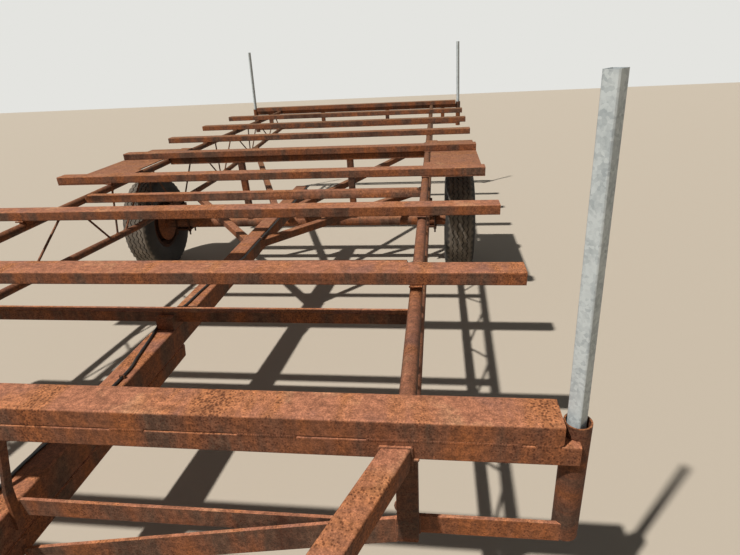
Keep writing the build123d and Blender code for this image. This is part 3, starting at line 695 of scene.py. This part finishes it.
def chain(points):
    """An open outline, drawn by extruding one corner point by point from the first place."""
    bpy.ops.object.select_all(action="DESELECT")
    bpy.ops.mesh.primitive_plane_add(size=1, location=(0, 0, 0))
    line = bpy.context.object
    bpy.ops.object.mode_set(mode="EDIT")
    bpy.ops.mesh.select_all(action="SELECT")
    bpy.ops.mesh.merge(type="CENTER")
    bpy.ops.transform.translate(value=points[0])
    for here, there in zip(points, points[1:]):
        bpy.ops.mesh.extrude_region_move(TRANSFORM_OT_translate={"value": Vector(there) - Vector(here)})
    bpy.ops.object.mode_set(mode="OBJECT")
    return line


def select_where(piece, test):
    """Selects, in edit mode, the points whose place passes the test."""
    bpy.ops.object.mode_set(mode="EDIT")
    bpy.ops.mesh.select_mode(type="VERT")
    bpy.ops.mesh.select_all(action="DESELECT")
    bpy.ops.object.mode_set(mode="OBJECT")
    for vertex in piece.data.vertices:
        vertex.select = test(vertex.co)
    bpy.ops.object.mode_set(mode="EDIT")


def spun(line, steps, axis=(1, 0, 0)):
    """Spins an outline once round the origin and closes the seam."""
    alone(line)
    bpy.ops.object.mode_set(mode="EDIT")
    bpy.ops.mesh.select_all(action="SELECT")
    bpy.ops.mesh.spin(steps=steps, angle=math.tau, center=(0, 0, 0), axis=axis)
    bpy.ops.mesh.select_all(action="SELECT")
    bpy.ops.mesh.remove_doubles(threshold=0.05 * MM)
    bpy.ops.mesh.normals_make_consistent(inside=False)
    bpy.ops.object.mode_set(mode="OBJECT")
    return line


def merged_copy(node):
    """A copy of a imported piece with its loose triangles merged."""
    twin = copy_of(NODES[node])
    alone(twin)
    bpy.ops.object.mode_set(mode="EDIT")
    bpy.ops.mesh.select_all(action="SELECT")
    bpy.ops.mesh.remove_doubles(threshold=0.01 * MM)
    bpy.ops.object.mode_set(mode="OBJECT")
    return twin


def on_deck_only(change):
    """A change that is written on the deck's axes, as one on the part's axes."""
    return DECK @ change @ DECK.inverted()


# The stakes' sockets on the deck's axes, and the depth of the middle of the stakes' hold in them.
SOCKET_X = 1485
SOCKET_INSET = 50
SOCKET_MIDDLE = 179.5
STAKE_LEAN = math.radians(1)
STAKE_TWIST = math.radians(20)

# How far each cross tube between the rails moves along the deck and up, to lie level with the rails.
# The third one, over the axle, then stands right under its crossmember. SEAT_REACH makes each a
# little shorter, so that its ends stay inside the rails' walls.
LEVEL = 41.5
SEATS = (
    ("rail_cross_tube_1", Vector((0, -48, LEVEL))),
    ("rail_cross_tube_2", Vector((0, -75, LEVEL))),
    ("rail_cross_tube_3", Vector((0, TUBE / 2, LEVEL))),
)
SEAT_REACH = 0.982

# Above this depth lie the tops of the posts that carry the third cross tube, which move with it.
POST_TOP = 150

# The straps from the front beam to the backbone: how much narrower they are, and how far in their
# tops move, which are what lies above STRAP_TOP.
STRAP_SHARE = 0.5
STRAP_SHIFT = 17
STRAP_TOP = 110


class PIPE_TRAILER_OT_fit_up(bpy.types.Operator):
    """Turns the stakes in their sockets, seats the rails' cross tubes and trims the straps"""

    bl_idname = "pipe_trailer.fit_up"
    bl_label = "Fit up"

    def execute(self, context):
        to_deck = DECK.inverted()
        from_deck = DECK.to_3x3()
        for end, y in (("front", SOCKET_INSET), ("rear", DECK_END - SOCKET_INSET)):
            for name, side in SIDES:
                node = f"stake_{end}_{name}"
                stand = Matrix.Translation((side * SOCKET_X, y, -SOCKET_MIDDLE))
                stand = stand @ Matrix.Rotation(-side * STAKE_LEAN, 4, "Y")
                turn = stand @ Matrix.Rotation(side * STAKE_TWIST, 4, "Z") @ stand.inverted()
                stake = merged_copy(node)
                stake.name = f"turned_{node}"
                settle(stake, on_deck_only(turn))
                wear(stake, "zinc", node)
                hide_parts(node)
        for node, seat in SEATS:
            tube = merged_copy(node)
            tube.name = f"seated_{node}"
            shortened = Matrix.Diagonal((SEAT_REACH, 1, 1, 1))
            settle(tube, on_deck_only(Matrix.Translation(seat) @ shortened))
            wear(tube, "across", "frame")
            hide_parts(node)
        posts = merged_copy("axle_posts")
        posts.name = "seated_axle_posts"
        select_where(posts, lambda place: (to_deck @ place).z > -POST_TOP)
        bpy.ops.transform.translate(value=from_deck @ SEATS[-1][1])
        bpy.ops.object.mode_set(mode="OBJECT")
        # The moved posts take the upright finish, darkened with painted shade.
        wear(posts, "upright", "frame")
        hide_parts("axle_posts")
        straps = merged_copy("hangers")
        straps.name = "trimmed_hangers"
        settle(straps, on_deck_only(Matrix.Diagonal((1, STRAP_SHARE, 1, 1))))
        for side in (-1, 1):
            select_where(straps, lambda place: (to_deck @ place).z > -STRAP_TOP and place.x * side > 0)
            bpy.ops.transform.translate(value=(-side * STRAP_SHIFT * MM, 0, 0))
            bpy.ops.object.mode_set(mode="OBJECT")
        # The trimmed straps take the upright finish, darkened with painted shade.
        wear(straps, "upright", "frame")
        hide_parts("hangers")
        return {"FINISHED"}


# Half of the tyre's section from the bead to the shoulder: (sideways, radius).
SIDEWALL = (
    (78, 204), (80, 214), (83, 224), (93, 234), (103, 250), (111, 270), (116, 295), (118, 318),
    (117, 340), (114, 357), (113, 359), (113, 365), (110, 376), (106, 387), (101, 396),
)
TYRE_RADIUS = 404
RIM_SEAT = 206
RIM_HALF = 70

# The middles of the grooves on each side, and how wide a groove's floor is for its mouth.
RIB_EDGES = (20, 56)
GROOVE_FLOOR = 0.6

# The grooves swing within GROOVE_REACH of the tread's middle. Past SHOULDER_IN, and outside
# SHOULDER_LOW, every second step is pinched in to make the shoulder's notches.
GROOVE_REACH = 75
SHOULDER_IN = 85
SHOULDER_LOW = 380
SHOULDER_PINCH = (0.95, 0.975, 0.975)


class PIPE_TRAILER_OT_tyres(bpy.types.Operator):
    """Moulds the tyres: full sidewalls, a notched shoulder and ribs between zigzag grooves"""

    bl_idname = "pipe_trailer.tyres"
    bl_label = "Tyres"

    def execute(self, context):
        settings = context.scene.trailer_tyre
        depth = settings.groove_depth / MM
        half = settings.groove_width / MM / 2
        tread = []
        for middle in (*[-x for x in reversed(RIB_EDGES)], *RIB_EDGES):
            tread += [
                (middle - half, TYRE_RADIUS), (middle - half * GROOVE_FLOOR, TYRE_RADIUS - depth),
                (middle + half * GROOVE_FLOOR, TYRE_RADIUS - depth), (middle + half, TYRE_RADIUS),
            ]
        right = [*SIDEWALL, (90, TYRE_RADIUS - 1.5), (80, TYRE_RADIUS)]
        left = [(-x, r) for x, r in right]
        inside = [(-RIM_HALF, RIM_SEAT), (RIM_HALF, RIM_SEAT)]
        outline = [*left, *tread, *reversed(right), *reversed(inside), left[0]]
        tyre = spun(chain([(x * MM, 0, r * MM) for x, r in outline]), settings.steps)
        step = math.tau / settings.steps

        def parity_of(place):
            return round(math.atan2(place.y, place.z) / step) % 2

        def radius_of(place):
            return math.hypot(place.y, place.z) / MM

        def in_groove(place, parity):
            on_tread = radius_of(place) > TYRE_RADIUS - depth - 1 and abs(place.x) < GROOVE_REACH * MM
            return on_tread and parity_of(place) == parity

        def on_shoulder(place):
            outside = radius_of(place) > SHOULDER_LOW and abs(place.x) > SHOULDER_IN * MM
            return outside and parity_of(place) == 0

        for parity, way in ((0, 1), (1, -1)):
            select_where(tyre, lambda place: in_groove(place, parity))
            bpy.ops.transform.translate(value=(way * settings.zigzag / 2, 0, 0))
            bpy.ops.object.mode_set(mode="OBJECT")
        select_where(tyre, on_shoulder)
        bpy.ops.transform.resize(value=SHOULDER_PINCH, center_override=(0, 0, 0))
        bpy.ops.object.mode_set(mode="OBJECT")
        for name, side in SIDES:
            low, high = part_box(f"tyre_{name}")
            twin = copy_of(tyre)
            twin.name = f"treaded_tyre_{name}"
            settle(twin, Matrix.Translation((low + high) / 2))
            wear(twin, "rubber", f"wheel_{name}", smooth=40)
            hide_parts(f"tyre_{name}")
        bpy.data.objects.remove(tyre)
        return {"FINISHED"}


def chamfered_rod(corners, radius, height, chamfer):
    """An upright prism that stands on the origin, with its top edge chamfered."""
    bpy.ops.object.select_all(action="DESELECT")
    bpy.ops.mesh.primitive_cylinder_add(
        vertices=corners, radius=radius, depth=height, location=(0, 0, height / 2)
    )
    rod = bpy.context.object
    bpy.ops.object.transform_apply(location=True)
    select_where(rod, lambda place: place.z > height / 2)
    bpy.ops.mesh.bevel(offset=chamfer, segments=1, affect="EDGES")
    bpy.ops.object.mode_set(mode="OBJECT")
    return rod


# The nut's chamfer and its stud, as shares of the width across its flats, and how much taller
# than the nut the stud is.
NUT_CHAMFER = 0.09
STUD_RADIUS = 0.27
STUD_CHAMFER = 0.05
STUD_RISE = 1.35


def nut(across, height):
    """A hexagon nut on the end of its stud, its seat at the origin, along Z."""
    body = chamfered_rod(6, across / math.sqrt(3), height, across * NUT_CHAMFER)
    stud = chamfered_rod(12, across * STUD_RADIUS, height * STUD_RISE, across * STUD_CHAMFER)
    return joined([body, stud], "nut")


# The wheel's studs. Their nuts are seated a little inside the tyre's middle plane.
STUD_CIRCLE = 69.85
STUD_COUNT = 6
HUB_FACE = -18

# The axle clamps' bolts as (across, along), and the height of the plates' faces over the axle.
CLAMP_BOLTS = ((-61, -53.5), (-61, 53.5), (61, -53.5), (61, 53.5))
CLAMP_FACE = AXLE_RADIUS + 10


class PIPE_TRAILER_OT_nuts(bpy.types.Operator):
    """Screws the wheel nuts onto their studs and the clamp nuts onto the axle's bolts"""

    bl_idname = "pipe_trailer.nuts"
    bl_label = "Nuts"

    def execute(self, context):
        settings = context.scene.trailer_fastening
        pattern = nut(settings.nut_across, settings.nut_height)
        for name, side in SIDES:
            low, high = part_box(f"tyre_{name}")
            middle = (low + high) / 2
            outward = Matrix.Rotation(side * math.pi / 2, 4, "Y")
            ring = []
            for number in range(STUD_COUNT):
                turn = Matrix.Rotation(math.tau * number / STUD_COUNT, 4, "X")
                seat = Vector((side * HUB_FACE * MM, STUD_CIRCLE * MM, 0))
                place = Matrix.Translation(middle) @ turn @ Matrix.Translation(seat) @ outward
                each = copy_of(pattern)
                settle(each, place)
                ring.append(each)
            # The wheel nuts take the running gear's finish, darkened with painted shade.
            wear(joined(ring, f"wheel_nuts_{name}"), "running", f"wheel_{name}")
        fastened = []
        for side in (-1, 1):
            for x, y in CLAMP_BOLTS:
                for lift, way in ((CLAMP_FACE, 0), (-CLAMP_FACE, math.pi)):
                    seat = on_deck(side * RAIL_X + x, AXLE_PLACE + y, -AXLE_DEPTH + lift)
                    each = copy_of(pattern)
                    settle(each, Matrix.Translation(seat) @ Matrix.Rotation(NOSE_DOWN + way, 4, "X"))
                    fastened.append(each)
        # The clamp nuts take the running gear's finish, darkened with painted shade.
        wear(joined(fastened, "clamp_nuts"), "running", "frame")
        bpy.data.objects.remove(pattern)
        return {"FINISHED"}


# How far apart a weld's ripples lie, as a share of their size.
RIPPLE = 0.85


def bead(begin, end, size, section=(1, 1)):
    """A straight weld bead between two places on the deck's axes: a row of overlapping ripples.

    section is its stretch sideways and upwards.
    """
    begin, end = on_deck(*begin), on_deck(*end)
    along = end - begin
    bpy.ops.object.select_all(action="DESELECT")
    bpy.ops.mesh.primitive_ico_sphere_add(subdivisions=1, radius=size)
    ripple = bpy.context.object
    row = ripple.modifiers.new("row", "ARRAY")
    row.count = max(2, round(along.length / (size * RIPPLE)))
    row.use_relative_offset = False
    row.use_constant_offset = True
    row.constant_offset_displace = (0, 0, along.length / (row.count - 1))
    bpy.ops.object.modifier_apply(modifier=row.name)
    turn = along.to_track_quat("Z", "Y").to_matrix().to_4x4()
    settle(ripple, Matrix.Translation(begin) @ turn @ Matrix.Diagonal((*section, 1, 1)))
    return ripple


def ring_bead(middle, radius, size):
    """A weld bead round a pipe that runs along the trailer."""
    bpy.ops.object.select_all(action="DESELECT")
    bpy.ops.mesh.primitive_ico_sphere_add(subdivisions=1, radius=size, location=(0, 0, radius))
    ripple = bpy.context.object
    bpy.ops.object.transform_apply(location=True)
    bpy.ops.object.mode_set(mode="EDIT")
    bpy.ops.mesh.select_all(action="SELECT")
    steps = round(math.tau * radius / (size * RIPPLE))
    bpy.ops.mesh.spin(steps=steps, dupli=True, angle=math.tau, center=(0, 0, 0), axis=(0, 1, 0))
    bpy.ops.object.mode_set(mode="OBJECT")
    settle(ripple, Matrix.Translation(on_deck(*middle)) @ Matrix.Rotation(NOSE_DOWN, 4, "X"))
    return ripple


def lump(place, size):
    """A blob of weld metal where a rod's foot meets its pipe."""
    bpy.ops.object.select_all(action="DESELECT")
    bpy.ops.mesh.primitive_ico_sphere_add(subdivisions=2, radius=1)
    blob = bpy.context.object
    stretch = Matrix.Diagonal((*[each * MM for each in size], 1))
    settle(blob, Matrix.Translation(on_deck(*place)) @ Matrix.Rotation(NOSE_DOWN, 4, "X") @ stretch)
    return blob


def mirrored(runs):
    """The same welds on the left and the right."""
    return [((s * x0, y0, z0), (s * x1, y1, z1)) for (x0, y0, z0), (x1, y1, z1) in runs for s in (-1, 1)]


# The blob at a rod's foot, half its size each way, and half the width of a crossmember's weld.
ROD_BLOB = (10, 15, 5)
CROSS_BEAD = 20

# From here back the rails touch the crossmembers. Before it pads fill the gap between them.
RAILS_TOUCH = 3000


class PIPE_TRAILER_OT_truss_welds(bpy.types.Operator):
    """Welds the rods, pads and crossmembers to the pipes of both trusses"""

    bl_idname = "pipe_trailer.truss_welds"
    bl_label = "Truss welds"

    def execute(self, context):
        size = context.scene.trailer_fastening.bead
        blobs = []
        for side in (-1, 1):
            for top, low in WEB_RODS:
                high = -depth_on(RAIL_LINE, top) - PIPE_RADIUS
                deep = -depth_on(CHORD_LINE, low) + PIPE_RADIUS
                blobs.append(lump((side * RAIL_X, top, high), ROD_BLOB))
                blobs.append(lump((side * RAIL_X, low, deep), ROD_BLOB))
        wear(joined(blobs, "rod_welds"), "along", "frame", smooth=60)
        runs = []
        for y in CROSS_PLACES[1:]:
            foot = -CROSS_HEIGHT - (2 if y > RAILS_TOUCH else 4)
            for edge in (y - 1, y + CROSS_WIDTH + 1):
                runs.append(((RAIL_X - CROSS_BEAD, edge, foot), (RAIL_X + CROSS_BEAD, edge, foot)))
        beads = [bead(a, b, size) for a, b in mirrored(runs)]
        for side in (-1, 1):
            for line in (RAIL_LINE, CHORD_LINE):
                for y in (TUBE, DECK_END - TUBE):
                    beads.append(ring_bead((side * RAIL_X, y, -depth_on(line, y)), PIPE_RADIUS * MM, size))
        wear(joined(beads, "rail_welds"), "along", "frame", smooth=60)
        return {"FINISHED"}


# Places along the front beam where the first crossmember is stitched to it: (from, to).
STITCHES = (
    (-1180, -1060), (-820, -700), (-420, -300), (-60, 60), (430, 508), (740, 870), (1035, 1360),
    (1395, 1440),
)
STITCH_SECTION = (0.7, 1.5)

# The end posts' middle, the depth of the seam under the tongue, and its stitches.
POST_X = 1117
TONGUE_SEAM = 453.6
SEAM_STITCHES = (-360, -60, 240, 540, 840)
SEAM_STITCH = 70


class PIPE_TRAILER_OT_frame_welds(bpy.types.Operator):
    """Welds the end frames, the tongue and its braces"""

    bl_idname = "pipe_trailer.frame_welds"
    bl_label = "Frame welds"

    def execute(self, context):
        size = context.scene.trailer_fastening.bead
        half = TUBE / 2
        beads = []
        for y in (3, DECK_END - 2):
            for left, right in STITCHES:
                ends = ((left, y, -CROSS_HEIGHT), (right, y, -CROSS_HEIGHT))
                beads.append(bead(*ends, size * 1.2, section=STITCH_SECTION))
        wear(joined(beads, "stitch_welds"), "across", "frame", smooth=60)
        low = -CROSS_HEIGHT - TUBE
        inner = POST_X - half - 0.5
        outer = POST_X + half + 0.5
        # Round the head of the post, round the tongue brace's end on the front beam, down the
        # post's sides where the ties and the lower brace meet it, and at the lower brace's foot.
        runs = [
            ((POST_X - half, -0.5, low), (POST_X + half, -0.5, low)),
            ((inner, 2, low), (inner, TUBE - 2, low)),
            ((outer, 2, low), (outer, TUBE - 2, low)),
            ((1062, -1, -68), (1128, -1, -68)),
            ((1060, -1, -70), (1060, -1, -100)),
            ((1130, -1, -70), (1130, -1, -130)),
            ((inner, 24, -322), (inner, 24, -372)),
            ((outer, 24, -298), (outer, 24, -348)),
            ((inner, 4, -288), (inner, 4, -352)),
            ((60.5, 4, -484), (60.5, 4, -540)),
        ]
        for y in SEAM_STITCHES:
            runs.append(((50, y, -TONGUE_SEAM), (50, y + SEAM_STITCH, -TONGUE_SEAM)))
        beads = [bead(a, b, size) for a, b in mirrored(runs)]
        wear(joined(beads, "end_frame_welds"), "plate", "frame", smooth=60)
        return {"FINISHED"}


class PIPE_TRAILER_PT_panel(bpy.types.Panel):
    bl_label = "Pipe trailer"
    bl_idname = "PIPE_TRAILER_PT_panel"
    bl_space_type = "VIEW_3D"
    bl_region_type = "UI"
    bl_category = "Pipe trailer"

    def draw(self, context):
        for step in STEPS:
            self.layout.operator(step.bl_idname)


SETTINGS = {
    "trailer_stage": StageSettings,
    "trailer_steel": SteelSettings,
    "trailer_zinc": ZincSettings,
    "trailer_tyre": TyreSettings,
    "trailer_cable": CableSettings,
    "trailer_fastening": FasteningSettings,
}
STEPS = (
    PIPE_TRAILER_OT_stage,
    PIPE_TRAILER_OT_finishes,
    PIPE_TRAILER_OT_fit_up,
    PIPE_TRAILER_OT_tyres,
    PIPE_TRAILER_OT_nuts,
    PIPE_TRAILER_OT_truss_welds,
    PIPE_TRAILER_OT_frame_welds,
)


def register():
    for group in SETTINGS.values():
        bpy.utils.register_class(group)
    for step in STEPS:
        bpy.utils.register_class(step)
    bpy.utils.register_class(PIPE_TRAILER_PT_panel)
    for name, group in SETTINGS.items():
        setattr(bpy.types.Scene, name, bpy.props.PointerProperty(type=group))


def unregister():
    for name in SETTINGS:
        delattr(bpy.types.Scene, name)
    for each in (PIPE_TRAILER_PT_panel, *STEPS, *SETTINGS.values()):
        bpy.utils.unregister_class(each)


def main():
    register()
    for step in STEPS:
        family, name = step.bl_idname.split(".")
        getattr(getattr(bpy.ops, family), name)()


if __name__ == "__main__":
    main()
